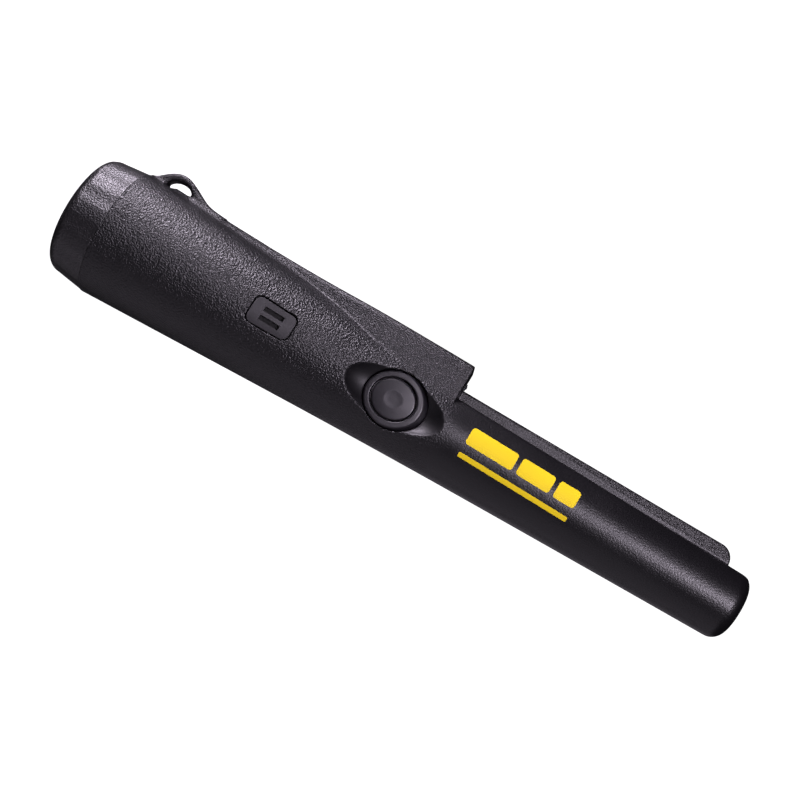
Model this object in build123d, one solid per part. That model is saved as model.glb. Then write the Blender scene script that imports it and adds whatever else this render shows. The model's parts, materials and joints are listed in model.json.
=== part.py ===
# Handheld pinpointer probe for metal detecting: a tapered wand with a screw-on battery cap.
# Frame: origin at the centre of the cap's flat end, +Z towards the tip, millimetres.
# The push button faces -Y.  The raised hood, the lanyard loop and the scraping blade lie at -X.
from build123d import *
from math import asin, pi, radians, sqrt, tan
import os

os.makedirs("parts", exist_ok=True)

# ---------------------------------------------------------------- driving dimensions

LENGTH = 229.0
SEAM_Z = 12.85            # where the cap meets the casing
SEAM_RADIUS = 20.46
TIP_CORNER = 4.7          # rounding of the closed tip
TIP_EDGE_Z = LENGTH - TIP_CORNER
TAPER = [(SEAM_RADIUS, SEAM_Z), (17.78, 60.0), (15.12, 110.0), (13.1, 160.0), (10.9, TIP_EDGE_Z)]
WALL = 2.2

CAP_TOP_Z = 12.78
CAP_END_RADIUS = 19.15
CAP_MOUTH_RADIUS = 20.3
CAP_CORNER = 3.8
CAP_FLOOR = 2.4
CAP_BORE = 18.35
CAP_MOUTH_BORE = 18.95
CAP_MOUTH_Z = 10.9
FLUTES = 12
FLUTE_PHASE = 255.0       # degrees about Z of the first flute
FLUTE_CUTTER = 10.8       # radius of the round cutter that leaves each flute
FLUTE_DEPTH_END = 0.75
FLUTE_DEPTH_MOUTH = 0.35

NECK_RADIUS = 17.3
NECK_END_Z = 3.2
BAY_RADIUS = 16.0
BAY_TOP_Z = 56.5
THREAD_PITCH = 4.0
THREAD_HEIGHT = 0.70
THREAD_ROOT = 1.4
THREAD_CREST = 0.8

HOOD_FRONT_Z = 126.9
HOOD_BACK_Z = 22.0
HOOD_TOP_BACK = 20.2      # distance of the hood's ridge from the axis at its back end
HOOD_TOP_FRONT = 20.85
HOOD_BASE_PLAN = 6.0      # heights above the axis of the hood's two plan outlines
HOOD_TOP_PLAN = 22.0      # the stations are half widths on the lower one
HOOD_STATIONS = [(4.0, HOOD_BACK_Z), (4.1, 58.0), (5.6, 76.3), (9.7, 91.0), (11.8, 107.3), (12.3, HOOD_FRONT_Z)]
HOOD_DRAFT = 8.0          # degrees that the sides lean in
HOOD_EDGE = 1.6

LAND = 10.2               # flat strip in front of the hood, distance from the axis
BLADE_START_Z = 126.6
BLADE_END_Z = 220.3
BLADE_TOP_BACK = 13.7
BLADE_TOP_FRONT = 14.95
BLADE_THICK = 2.8
BLADE_CORNER = 4.6

LOOP_HOLE_Z = 22.3
LOOP_HOLE_H = 19.55
LOOP_HOLE_HALF = (3.7, 4.5)
LOOP_WIDTH = 5.6

BUTTON_Z = 111.2
BEZEL_TOP = 12.2          # distance of the bezel's rim from the axis
SCOOP_BACK_Z = 95.6
SCOOP_FRONT_Z = 127.4
SCOOP_BACK_RADIUS = 15.72 # distance of the scoop's two pointed ends from the axis
SCOOP_FRONT_RADIUS = 14.30
SCOOP_LIFT = 3.0          # how far the hollowing form's axis lies above the surface
SCOOP_RADIUS = 8.95
BUTTON_TRAVEL = 0.4

GRILLE_Z = 69.2
GRILLE_X = -1.3
GRILLE_LENGTH = 13.6

PCB_TOP = 1.0             # distance of the board's front face from the axis, towards the button
PCB_THICK = 1.6
SPEAKER_FRONT = 10.4
MOTOR_Y = 8.3
LED_X = -14.9
LENS_RADIUS = 1.05

BATTERY_BASE_Z = 5.6
BATTERY_WIDTH = 26.2
BATTERY_DEPTH = 17.2
BATTERY_BODY = 46.4


def save(node, shape):
    export_step(shape, f"parts/{node}.step")


def turned(*edges):
    """Solid of revolution about Z from a closed outline drawn as (radius, z)."""
    return revolve(Plane.XZ * make_face(Curve() + list(edges)), axis=Axis.Z)


def tapered(inset):
    """The casing's outer form with its tip, moved inwards by inset."""
    side = Spline(*[(r - inset, z) for r, z in TAPER])
    flat_radius = TAPER[-1][0] - inset - TIP_CORNER
    return turned(
        side,
        CenterArc((flat_radius, TIP_EDGE_Z), TIP_CORNER, 0, 90),
        Line((flat_radius, LENGTH), (0, LENGTH)),
        Line((0, LENGTH), (0, SEAM_Z)),
        Line((0, SEAM_Z), (SEAM_RADIUS - inset, SEAM_Z)),
    )


def box(x0, x1, y0, y1, z0, z1):
    """Box between two corners."""
    middle = ((x0 + x1) / 2, (y0 + y1) / 2, (z0 + z1) / 2)
    return Pos(*middle) * Box(x1 - x0, y1 - y0, z1 - z0)


def rod_z(radius, z0, z1, x=0.0, y=0.0):
    """Cylinder along Z."""
    return Pos(x, y, (z0 + z1) / 2) * Cylinder(radius, z1 - z0)


def tube_z(inner, outer, z0, z1, x=0.0, y=0.0):
    """Tube along Z."""
    return rod_z(outer, z0, z1, x, y) - rod_z(inner, z0, z1, x, y)


def front_plane(x, z, out):
    """Plane facing the button side (-Y), at distance out from the axis; its own y runs along Z."""
    return Plane(origin=(x, -out, z), x_dir=(1, 0, 0), z_dir=(0, -1, 0))


def oval(half_x, half_z, low, high, x=0.0, z=BUTTON_Z):
    """Oval prism that stands towards the button side, from distance low to high."""
    return extrude(front_plane(x, z, low) * Ellipse(half_x, half_z), high - low)


def disc(radius, low, high, x, z):
    """Round prism that stands towards the button side, from distance low to high."""
    return extrude(front_plane(x, z, low) * Circle(radius), high - low)


def thread(root_radius, outward, z0, turns):
    """Helical ridge on a cylinder; outward is +1 on a neck and -1 inside a bore."""
    sink = 0.25 * outward
    crest = THREAD_HEIGHT * outward
    start = root_radius - sink
    helix = Helix(THREAD_PITCH, THREAD_PITCH * turns, start, center=(0, 0, z0))
    profile = make_face(
        Polyline(
            (0, -THREAD_ROOT / 2),
            (sink + crest, -THREAD_CREST / 2),
            (sink + crest, THREAD_CREST / 2),
            (0, THREAD_ROOT / 2),
            close=True,
        )
    )
    section = Plane(origin=(start, 0, z0), x_dir=(1, 0, 0), z_dir=(0, -1, 0)) * profile
    return sweep(section, path=helix, is_frenet=True)


def lead(points, radius, wire=0.6):
    """Insulated wire along straight runs joined by arcs."""
    path = FilletPolyline(*points, radius=radius)
    start = Plane(origin=path @ 0, z_dir=path % 0)
    return sweep(start * Circle(wire), path=path)


# ---------------------------------------------------------------- casing


def hood_plan(shrink):
    """Plan of the hood, drawn as (y, -z), with its half widths reduced by shrink."""
    points = [(half_width - shrink, -z) for half_width, z in HOOD_STATIONS]
    side = Spline(*points, tangents=[(0, -1), (0, -1)])
    other = mirror(side, Plane.YZ)
    back = Line(side @ 0, other @ 0)
    front = Line(side @ 1, other @ 1)
    return make_face(Curve() + [side, other, back, front])


def hood_solid():
    """Raised wedge; its sides lean in towards a straight ridge and widen along a smooth curve."""
    outward = Plane(origin=(0, 0, 0), x_dir=(0, 1, 0), z_dir=(-1, 0, 0))
    shrink = (HOOD_TOP_PLAN - HOOD_BASE_PLAN) * tan(radians(HOOD_DRAFT))
    low_plan = outward.offset(HOOD_BASE_PLAN) * hood_plan(0)
    high_plan = outward.offset(HOOD_TOP_PLAN) * hood_plan(shrink)
    prism = loft([low_plan, high_plan])
    core = box(-HOOD_BASE_PLAN, 0, -3.0, 3.0, HOOD_BACK_Z, HOOD_FRONT_Z)
    slope = (HOOD_TOP_FRONT - HOOD_TOP_BACK) / (HOOD_FRONT_Z - HOOD_BACK_Z)
    reach = 10.0
    above = make_face(
        Polyline(
            (-HOOD_TOP_BACK + slope * reach, HOOD_BACK_Z - reach),
            (-HOOD_TOP_FRONT - slope * reach, HOOD_FRONT_Z + reach),
            (-40, HOOD_FRONT_Z + reach),
            (-40, HOOD_BACK_Z - reach),
            close=True,
        )
    )
    wedge = prism - extrude(Plane.XZ * above, 20.0, both=True)
    ridge_face = wedge.faces().sort_by(Axis.X)[0]
    wedge = fillet(ridge_face.edges().sort_by(Axis.Z)[1:], HOOD_EDGE)
    return wedge + core


def loop_solid():
    """Lanyard loop: an arched web whose hole sits on the casing."""
    foot = 17.0
    outline = Curve() + [
        Spline(
            (-20.3, 13.4),
            (-24.2, 17.9),
            (-25.55, 21.9),
            (-24.1, 26.7),
            (-21.4, 32.6),
            (-20.4, 38.5),
            tangents=[(-1.0, 0.75), (-0.05, 1.0)],
        ),
        Line((-20.4, 38.5), (-foot, 38.5)),
        Line((-foot, 38.5), (-foot, 13.4)),
        Line((-foot, 13.4), (-20.3, 13.4)),
    ]
    web = extrude(Plane.XZ * make_face(outline), LOOP_WIDTH / 2, both=True)
    hole = Plane.XZ * Pos(-LOOP_HOLE_H, LOOP_HOLE_Z) * Ellipse(*LOOP_HOLE_HALF)
    return web - extrude(hole, LOOP_WIDTH, both=True)


def blade_solid():
    """Scraping blade: a low straight fin on the flat strip, rounded at its front end."""
    base = LAND - 0.4
    outline = make_face(
        Polyline(
            (-base, BLADE_START_Z),
            (-BLADE_TOP_BACK, BLADE_START_Z),
            (-BLADE_TOP_FRONT, BLADE_END_Z),
            (-base, BLADE_END_Z),
            close=True,
        )
    )
    fin = extrude(Plane.XZ * outline, BLADE_THICK / 2, both=True)
    front_edge = fin.edges().filter_by(Axis.Y).sort_by(Axis.Z)[-2:].sort_by(Axis.X)[0]
    fin = fillet(front_edge, BLADE_CORNER)
    crest = fin.edges().filter_by(lambda edge: edge.length > 50 and edge.center().X < -LAND - 2)
    return fillet(crest, 0.7)


def scoop(extra):
    """Long round form that hollows the place of the button; extra makes it fatter all over."""
    half = (SCOOP_FRONT_Z - SCOOP_BACK_Z) / 2
    length = half / sqrt(1 - (SCOOP_LIFT / SCOOP_RADIUS) ** 2) + extra
    tilt = degrees_of((SCOOP_BACK_RADIUS - SCOOP_FRONT_RADIUS) / (2 * half))
    arc = EllipticalCenterArc((0, 0), SCOOP_RADIUS + extra, length, -90, arc_size=180)
    form = revolve(make_face(Curve() + [arc, Line(arc @ 1, arc @ 0)]), axis=Axis.Y)
    upright = Pos(0, -SCOOP_LIFT, 0) * Rot(90, 0, 0) * form
    middle_z = (SCOOP_FRONT_Z + SCOOP_BACK_Z) / 2
    middle_out = (SCOOP_BACK_RADIUS + SCOOP_FRONT_RADIUS) / 2
    return Pos(0, -middle_out, middle_z) * Rot(-tilt, 0, 0) * upright


def degrees_of(sine):
    return asin(sine) * 180 / pi


def grille_face(margin):
    """Plan of the speaker plate, a little narrower towards the tip."""
    half_z = GRILLE_LENGTH / 2 + margin
    wide, narrow = 4.15 + margin, 3.75 + margin
    corners = [(-wide, -half_z), (wide, -half_z), (narrow, half_z), (-narrow, half_z)]
    outline = Polygon(*corners, align=None)
    return fillet(outline.vertices(), 1.9 + margin)


POCKET_FLOOR = 7.4
BOSS_FLOOR = 5.4
POCKET_HALF = (8.85, 10.05)
POCKET_Z = BUTTON_Z + 0.6
STEM_HOLE = 4.0


def casing():
    outer = tapered(0) + hood_solid()
    strip = box(-30, -LAND, -20, 20, HOOD_FRONT_Z, LENGTH + 1)
    outer -= strip
    outer += blade_solid()
    outer += loop_solid() - tapered(0.6)
    outer -= scoop(0)

    neck = rod_z(NECK_RADIUS, NECK_END_Z, SEAM_Z + 0.5)
    bay = rod_z(BAY_RADIUS, NECK_END_Z - 1, BAY_TOP_Z)
    inner = turned(
        Line((0, BAY_TOP_Z), (15.65, BAY_TOP_Z)),
        Spline((15.65, BAY_TOP_Z), (12.82, 110.0), (10.8, 160.0), (8.6, 222.0)),
        Line((8.6, 222.0), (5.6, 225.4)),
        Line((5.6, 225.4), (0, 225.4)),
        Line((0, 225.4), (0, BAY_TOP_Z)),
    )
    inner -= box(-20, -(LAND - 2.0), -20, 20, 124.4, LENGTH)
    inner -= scoop(WALL)
    inner -= oval(11.0, 12.2, BOSS_FLOOR, 20.0)
    hood_room = box(-18.6, -7.0, -7.0, 7.0, 104.0, 124.6)

    shell = outer + neck - bay - inner - hood_room
    shell -= oval(*POCKET_HALF, POCKET_FLOOR, 20.0, z=POCKET_Z)
    shell -= disc(STEM_HOLE, 4.0, 8.0, 0, BUTTON_Z)
    shell -= rod_z(LENS_RADIUS + 0.05, 120, HOOD_FRONT_Z + 0.2, x=LED_X)
    window = extrude(front_plane(GRILLE_X, GRILLE_Z, 8.0) * grille_face(0.35), 14.0)
    shell -= window - tapered(1.6)
    sound_hole = extrude(front_plane(GRILLE_X, GRILLE_Z, 8.0) * Rectangle(5.6, 10.0), 14.0)
    shell -= sound_hole
    shell += thread(NECK_RADIUS, 1, 5.0, 1.1)
    return shell


# ---------------------------------------------------------------- battery cap


def battery_cap():
    outer = turned(
        Line((0, 0), (CAP_END_RADIUS - CAP_CORNER, 0)),
        CenterArc((CAP_END_RADIUS - CAP_CORNER, CAP_CORNER), CAP_CORNER, -90, 90),
        Line((CAP_END_RADIUS, CAP_CORNER), (CAP_MOUTH_RADIUS, CAP_TOP_Z)),
        Line((CAP_MOUTH_RADIUS, CAP_TOP_Z), (0, CAP_TOP_Z)),
        Line((0, CAP_TOP_Z), (0, 0)),
    )
    end_reach = CAP_END_RADIUS - FLUTE_DEPTH_END
    mouth_reach = CAP_MOUTH_RADIUS - FLUTE_DEPTH_MOUTH
    lean = degrees_of((mouth_reach - end_reach) / CAP_TOP_Z)
    cutter = Pos(FLUTE_CUTTER + (end_reach + mouth_reach) / 2, 0, CAP_TOP_Z / 2) * Rot(0, lean, 0)
    cutter = cutter * Cylinder(FLUTE_CUTTER, 3 * CAP_TOP_Z)
    for index in range(FLUTES):
        outer -= Rot(0, 0, FLUTE_PHASE + index * 360 / FLUTES) * cutter
    cup = outer - rod_z(CAP_BORE, CAP_FLOOR, CAP_TOP_Z + 1)
    cup -= rod_z(CAP_MOUTH_BORE, CAP_MOUTH_Z, CAP_TOP_Z + 1)
    ridge = Rot(0, 0, 180) * thread(CAP_BORE, -1, 5.0, 1.1)
    return cup + ridge


def cap_o_ring():
    return Pos(0, 0, 12.0) * Torus(18.03, 0.67)


def battery_pad():
    return rod_z(15.4, CAP_FLOOR + 0.05, BATTERY_BASE_Z - 0.05)


# ---------------------------------------------------------------- battery and its contacts


def battery_case():
    low, high = BATTERY_BASE_Z, BATTERY_BASE_Z + BATTERY_BODY
    can = box(-BATTERY_WIDTH / 2, BATTERY_WIDTH / 2, -BATTERY_DEPTH / 2, BATTERY_DEPTH / 2, low, high)
    can = fillet(can.edges().filter_by(Axis.Z), 2.4)
    return fillet(can.edges().group_by(Axis.Z)[-1] + can.edges().group_by(Axis.Z)[0], 0.8)


BATTERY_TOP_Z = BATTERY_BASE_Z + BATTERY_BODY
STUD_SPACING = 12.7


def battery_terminals():
    base = BATTERY_TOP_Z
    small = rod_z(2.85, base, base + 2.6, x=-STUD_SPACING / 2)
    large = tube_z(3.1, 4.0, base, base + 2.6, x=STUD_SPACING / 2)
    large += rod_z(3.4, base, base + 0.5, x=STUD_SPACING / 2)
    return [small, large]


def snap_plate():
    low = BATTERY_TOP_Z + 3.0
    plate = box(-12.8, 12.8, -8.2, 8.2, low, low + 2.0)
    return fillet(plate.edges().filter_by(Axis.Z), 2.2)


def snap_contacts():
    low, top = BATTERY_TOP_Z + 0.4, BATTERY_TOP_Z + 3.0
    socket = tube_z(2.95, 3.6, low, top, x=-STUD_SPACING / 2)
    stud = rod_z(2.9, low + 0.3, top, x=STUD_SPACING / 2)
    return [socket, stud]


# ---------------------------------------------------------------- chassis and circuit board

PLATE_NEAR = 2.3          # Y of the chassis plate's two faces
PLATE_FAR = 3.6
BOARD_START_Z = 61.5
BOARD_END_Z = 121.5
SCREW_SITES = [(-7.4, 66.0), (7.4, 66.0), (-7.4, 118.0), (7.4, 118.0)]


def chassis():
    """Tray that carries the battery, the board and the motor."""
    bulkhead = rod_z(15.3, 57.2, 59.0) - box(-6, 6, 3.8, 8, 57, 60)
    plate = box(-9.4, 9.4, PLATE_NEAR, PLATE_FAR, 59.0, 124.0)
    plate -= box(-4.2, 4.2, PLATE_NEAR - 1, PLATE_FAR + 1, 58.0, 61.4)
    frame = bulkhead + plate
    for side in (-1, 1):
        wall = box(13.3, 14.3, -5.0, 5.0, 12.0, 57.2)
        frame += wall if side > 0 else mirror(wall, Plane.YZ)
        arm = box(4.75, 5.9, PLATE_FAR, 11.0, 66.0, 76.0)
        frame += arm if side > 0 else mirror(arm, Plane.YZ)
    for x, z in SCREW_SITES:
        post = disc(1.9, -PLATE_NEAR, PCB_TOP - PCB_THICK, x, z)
        frame += post
    for x, z in SCREW_SITES:
        frame -= disc(0.85, -PLATE_FAR - 1, PCB_TOP, x, z)
    return frame


def circuit_board():
    low = PCB_TOP - PCB_THICK
    board = box(-9.2, 9.2, -PCB_TOP, -low, BOARD_START_Z, BOARD_END_Z)
    board = fillet(board.edges().filter_by(Axis.Y), 1.2)
    for x, z in SCREW_SITES:
        board -= disc(1.15, low - 1, PCB_TOP + 1, x, z)
    return board


def pcb_screws():
    """Pan-head screws that hold the board on the chassis posts."""
    screws = []
    for x, z in SCREW_SITES:
        head = disc(1.8, PCB_TOP, PCB_TOP + 1.2, x, z)
        head = fillet(head.edges().group_by(Axis.Y)[0], 0.5)
        slot = front_plane(x, z, PCB_TOP + 0.6) * (Rectangle(2.0, 0.45) + Rectangle(0.45, 2.0))
        shank = disc(0.83, -PLATE_FAR + 0.2, PCB_TOP, x, z)
        screws.append(head + shank - extrude(slot, 2.0))
    return screws


def chip(width, length, height, x, z, pins):
    """Gull-wing chip on the board: a body and two rows of leads."""
    half_width, half_length = width / 2, length / 2
    low, high = PCB_TOP + 0.12, PCB_TOP + height
    package = box(x - half_width, x + half_width, -high, -low, z - half_length, z + half_length)
    pitch = length / pins
    for side in (-1, 1):
        for index in range(pins):
            pin_z = z - half_length + pitch * (index + 0.5)
            inner_x = x + side * (half_width - 0.1)
            outer_x = x + side * (half_width + 0.9)
            low_x, high_x = min(inner_x, outer_x), max(inner_x, outer_x)
            package += box(low_x, high_x, -PCB_TOP - 0.35, -PCB_TOP, pin_z - 0.2, pin_z + 0.2)
    return package


def microcontroller():
    return chip(7.2, 9.0, 1.5, 0.0, 92.5, 8)


def amplifier_chips():
    return [chip(3.9, 4.9, 1.4, x, 83.0, 4) for x in (-5.2, 5.2)]


def capacitors():
    """Electrolytic capacitors standing on the board."""
    cans = []
    for x, z in ((-5.6, 73.5), (5.6, 73.5), (-6.9, 91.0)):
        can = disc(2.0, PCB_TOP, PCB_TOP + 4.6, x, z)
        cans.append(fillet(can.edges().group_by(Axis.Y)[0], 0.35))
    return cans


def crystal():
    body = extrude(front_plane(6.0, 101.0, PCB_TOP) * RectangleRounded(3.4, 7.6, 1.6), 2.4)
    return fillet(body.edges().group_by(Axis.Y)[0], 0.3)


def chip_resistors():
    """Row of surface-mount resistors."""
    return [
        box(x - 0.6, x + 0.6, -PCB_TOP - 0.5, -PCB_TOP, z - 1.0, z + 1.0)
        for z in (76.0, 78.6)
        for x in (-3.0, -1.0, 1.0, 3.0)
    ]


SWITCH_TOP = 4.1
PLUNGER_TOP = 4.75
PLUNGER_RADIUS = 1.7


def tact_switch():
    body = box(-3.1, 3.1, -SWITCH_TOP, -PCB_TOP, BUTTON_Z - 3.1, BUTTON_Z + 3.1)
    body = chamfer(body.edges().group_by(Axis.Y)[0], 0.3)
    body -= disc(PLUNGER_RADIUS + 0.05, SWITCH_TOP - 2.2, SWITCH_TOP + 1, 0, BUTTON_Z)
    for side in (-1, 1):
        for step in (-1, 1):
            leg_x = side * 3.1
            leg_z = BUTTON_Z + step * 2.25
            low_x, high_x = min(leg_x, leg_x + side * 1.0), max(leg_x, leg_x + side * 1.0)
            body += box(low_x, high_x, -PCB_TOP - 0.4, -PCB_TOP, leg_z - 0.4, leg_z + 0.4)
    return body


def switch_plunger():
    plunger = disc(PLUNGER_RADIUS, SWITCH_TOP - 1.6, PLUNGER_TOP, 0, BUTTON_Z)
    return fillet(plunger.edges().group_by(Axis.Y)[0], 0.25)


# ---------------------------------------------------------------- button

SEAL_TOP = 8.0
BEZEL_LEDGE = 9.4
BEZEL_RIM = (8.3, 8.95)
BUTTON_HALF = (6.0, 6.75)
BUTTON_BORE = (6.45, 7.2)
BUTTON_ROOM = (7.5, 8.4)


def button_seal():
    seal = oval(POCKET_HALF[0] - 0.1, POCKET_HALF[1] - 0.1, POCKET_FLOOR, SEAL_TOP, z=POCKET_Z)
    return seal - disc(3.4, POCKET_FLOOR - 1, SEAL_TOP + 1, 0, BUTTON_Z)


def button_bezel():
    """Fixed oval ring with a sloping outer wall."""
    shoulder = BEZEL_TOP - 2.0
    wide = (POCKET_HALF[0] - 0.1, POCKET_HALF[1] - 0.1)
    ring = oval(*wide, SEAL_TOP, shoulder, z=POCKET_Z)
    low_oval = front_plane(0, POCKET_Z, shoulder) * Ellipse(*wide)
    rim_oval = front_plane(0, BUTTON_Z, BEZEL_TOP) * Ellipse(*BEZEL_RIM)
    ring += loft([low_oval, rim_oval])
    ring = fillet(ring.edges().group_by(Axis.Y)[0], 0.35)
    ring -= oval(*BUTTON_BORE, SEAL_TOP - 1, BEZEL_TOP + 1)
    ring -= oval(*BUTTON_ROOM, SEAL_TOP - 1, BEZEL_LEDGE)
    return ring


def power_button():
    """Oval push button with a shallow dished top, a retaining flange and a stem."""
    flange_top = BEZEL_LEDGE - 0.1
    key = oval(*BUTTON_HALF, flange_top - 0.3, BEZEL_TOP + 0.05)
    key = fillet(key.edges().group_by(Axis.Y)[0], 0.4)
    key += oval(BUTTON_ROOM[0] - 0.3, BUTTON_ROOM[1] - 0.3, flange_top - 0.75, flange_top)
    key += disc(3.0, PLUNGER_TOP, flange_top, 0, BUTTON_Z)
    dish_radius = 26.0
    dish = Pos(0, -(BEZEL_TOP + 0.05 + dish_radius - 0.28), BUTTON_Z) * Sphere(dish_radius)
    return key - dish


# ---------------------------------------------------------------- speaker


def speaker_grille():
    plate = extrude(front_plane(GRILLE_X, GRILLE_Z, 8.0) * grille_face(0.0), 14.0)
    plate &= tapered(0.12)
    plate -= tapered(1.55)
    for offset in (-1.4, 1.4):
        slot = extrude(front_plane(GRILLE_X + offset, GRILLE_Z, 8.0) * Rectangle(1.5, 6.5), 14.0)
        plate -= slot
    return plate


def dust_cloth():
    cloth = extrude(front_plane(GRILLE_X, GRILLE_Z, 8.0) * Rectangle(5.2, 9.6), 14.0)
    return (cloth & tapered(1.65)) - tapered(1.95)


def speaker_frame():
    cup = disc(8.0, SPEAKER_FRONT - 3.4, SPEAKER_FRONT, GRILLE_X, GRILLE_Z)
    return cup - disc(7.4, SPEAKER_FRONT - 2.9, SPEAKER_FRONT + 1, GRILLE_X, GRILLE_Z)


def speaker_magnet():
    return disc(3.8, SPEAKER_FRONT - 2.9, SPEAKER_FRONT - 1.5, GRILLE_X, GRILLE_Z)


def speaker_cone():
    """Thin film cone held at the frame's rim."""
    rim, throat, film = 7.35, 3.2, 0.2
    high, low = SPEAKER_FRONT - 0.2, SPEAKER_FRONT - 1.2
    outline = make_face(
        Polyline(
            (0, low),
            (throat, low),
            (rim - 0.8, high - film),
            (rim, high - film),
            (rim, high),
            (rim - 0.9, high),
            (throat - 0.1, low + film),
            (0, low + film),
            close=True,
        )
    )
    cone = revolve(Plane.XY * outline, axis=Axis.Y)
    return Pos(GRILLE_X, 0, GRILLE_Z) * mirror(cone, Plane.XZ)


def speaker_gasket():
    tube = disc(7.6, SPEAKER_FRONT, 16.0, GRILLE_X, GRILLE_Z)
    tube -= disc(6.4, SPEAKER_FRONT - 1, 17.0, GRILLE_X, GRILLE_Z)
    return tube & tapered(WALL + 0.2)


# ---------------------------------------------------------------- vibration motor


def motor_can():
    can = rod_z(3.5, 62.0, 78.0, y=MOTOR_Y)
    can = fillet(can.edges().filter_by(GeomType.CIRCLE), 0.4)
    can += rod_z(1.4, 77.9, 78.9, y=MOTOR_Y)
    return can - rod_z(0.53, 70.0, 80.0, y=MOTOR_Y)


def motor_boot():
    return tube_z(3.5, 4.6, 65.0, 77.0, y=MOTOR_Y)


def motor_shaft():
    return rod_z(0.5, 71.0, 85.5, y=MOTOR_Y)


def eccentric_weight():
    half = rod_z(3.0, 80.2, 84.7, y=MOTOR_Y) & box(-4, 4, MOTOR_Y - 0.9, MOTOR_Y + 4, 80, 85)
    return half - rod_z(0.5, 79.0, 86.0, y=MOTOR_Y)


# ---------------------------------------------------------------- search coil in the tip

COIL_START_Z = 146.0
COIL_END_Z = 219.0
COIL_MIDDLE_Z = 184.0
FLANGE = 7.9


def ferrite_rod():
    rod = rod_z(4.4, 143.0, 221.0)
    return fillet(rod.edges(), 0.4)


def coil_former():
    former = tube_z(4.45, 5.5, COIL_START_Z, COIL_END_Z)
    for z in (COIL_START_Z, COIL_MIDDLE_Z, COIL_END_Z - 1.4):
        former += tube_z(4.45, FLANGE, z, z + 1.4)
    return former


def winding(z0, z1, depth):
    """Layered winding with the shallow waves of its turns."""
    coil = tube_z(5.5, 5.5 + depth, z0, z1)
    step = 2.0
    count = int((z1 - z0) / step)
    for index in range(count):
        groove_z = z0 + (index + 0.5) * (z1 - z0) / count
        coil -= Pos(0, 0, groove_z) * Torus(5.5 + depth + 0.12, 0.32)
    return coil


def transmit_coil():
    return winding(COIL_START_Z + 1.4, COIL_MIDDLE_Z, 1.6)


def receive_coil():
    return winding(COIL_MIDDLE_Z + 1.4, COIL_END_Z - 1.4, 1.3)


def tip_pad():
    return rod_z(5.0, 221.05, 225.3)


# ---------------------------------------------------------------- lamp in the hood


def led_lens():
    """Clear window with a domed nose in the hood's front face."""
    stem = rod_z(LENS_RADIUS, 124.5, 127.3, x=LED_X)
    nose = Pos(LED_X, 0, 126.5) * Sphere(LENS_RADIUS)
    nose &= box(LED_X - 3, LED_X + 3, -3, 3, 126.9, 130)
    flange = rod_z(2.6, 123.6, 124.55, x=LED_X)
    return stem + nose + flange


def led():
    body = rod_z(1.5, 117.6, 121.4, x=LED_X) + Pos(LED_X, 0, 121.4) * Sphere(1.5)
    body += rod_z(1.9, 116.8, 117.7, x=LED_X)
    for side in (-1, 1):
        body += box(LED_X - 0.25, LED_X + 0.25, side * 1.27 - 0.25, side * 1.27 + 0.25, 111.0, 117.0)
    return body


def led_holder():
    block = box(-17.4, -10.4, -3.4, 3.4, 114.5, 123.4)
    block = fillet(block.edges().filter_by(Axis.Z), 1.0)
    block -= rod_z(1.6, 117.0, 124.0, x=LED_X)
    block -= rod_z(2.0, 114.0, 118.0, x=LED_X)
    return block


# ---------------------------------------------------------------- internal leads


def battery_leads():
    runs = []
    for x in (-3.0, 3.0):
        runs.append(lead([(x, 5.0, 57.05), (x, 5.0, 60.4), (x, 1.25, 60.4), (x, 1.25, 63.5)], 1.3))
    return runs


def speaker_leads():
    return [
        lead([(x, -6.95, 66.0), (x, -4.0, 66.0), (x, -4.0, 64.0), (x, -1.05, 64.0)], 0.9, 0.45)
        for x in (-2.0, 0.5)
    ]


def motor_leads():
    return [
        lead([(x, MOTOR_Y, 61.95), (x, MOTOR_Y, 60.4), (x, 1.1, 60.4), (x, 1.1, 63.5)], 0.7, 0.45)
        for x in (-1.2, 1.2)
    ]


def coil_leads():
    return [
        lead([(x, 0.2, 121.6), (x, 0.2, 132.0), (x, 4.0, 138.0), (x, 6.4, 145.8)], 2.0, 0.4)
        for x in (-2.4, -0.8, 0.8, 2.4)
    ]


def led_leads():
    return [
        lead([(LED_X, y, 110.95), (LED_X, y, 106.0), (-7.0, y, 106.0)], 1.5, 0.42)
        for y in (-PCB_TOP - 0.46, PCB_THICK - PCB_TOP + 0.46)
    ]


NODES = [
    casing, battery_cap, cap_o_ring, battery_pad,
    battery_case, battery_terminals, snap_plate, snap_contacts,
    chassis, circuit_board, pcb_screws, microcontroller, amplifier_chips, capacitors,
    crystal, chip_resistors, tact_switch, switch_plunger,
    button_seal, button_bezel, power_button,
    speaker_grille, dust_cloth, speaker_frame, speaker_magnet, speaker_cone, speaker_gasket,
    motor_can, motor_boot, motor_shaft, eccentric_weight,
    ferrite_rod, coil_former, transmit_coil, receive_coil, tip_pad,
    led_lens, led, led_holder,
    battery_leads, speaker_leads, motor_leads, coil_leads, led_leads,
]

for make in NODES:
    shape = make()
    if isinstance(shape, list):
        shape = Compound(children=[Part(piece.wrapped) for piece in shape])
    save(make.__name__, shape)
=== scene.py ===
"""Looks of a handheld pinpointer probe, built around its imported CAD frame.

The casing is one mesh taken from a distance field, so that its hood, loop, blade and button scoop flow
into the tapered body with soft edges.  Shapes are worked out in millimetres as (h, b, z): h is the
distance from the axis towards the hood, b towards the push button, z along the probe from the cap.
"""

import json
import math

import bpy
import numpy as np
from mathutils import Matrix, Vector


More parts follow.
